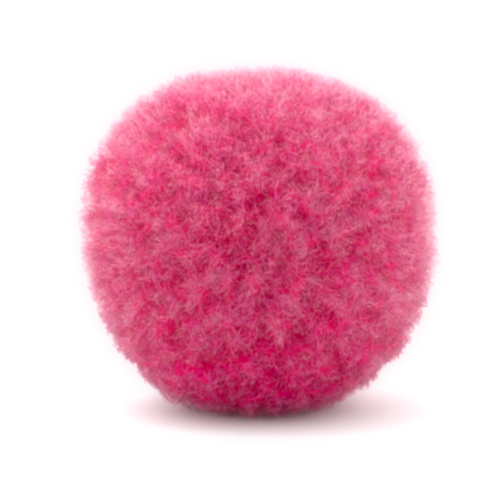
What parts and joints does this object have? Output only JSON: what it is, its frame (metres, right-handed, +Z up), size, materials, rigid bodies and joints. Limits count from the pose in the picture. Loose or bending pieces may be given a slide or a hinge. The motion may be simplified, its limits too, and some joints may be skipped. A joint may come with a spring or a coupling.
{
  "type": "plush pom-pom",
  "caption": "Plush pom-pom: a soft, slightly square ball of cut pink fibre locks, fused at their roots, with a small flat spot to rest on. Trims hats, bags, garlands and crafts.",
  "frame": {"origin": "on the floor, at the middle of the small flat spot that the ball rests on", "axes": "+Z up, -Y to the front, which is the side the picture shows, +X to the right of the front"},
  "size_m": [0.0256, 0.0247, 0.0244],
  "materials": {
    "pile": "matte crimped fibre, deep crimson between the tufts and light pink at the tips"
  },
  "bodies": {
    "root": {"pile": "pile"}
  },
  "joints": []
}
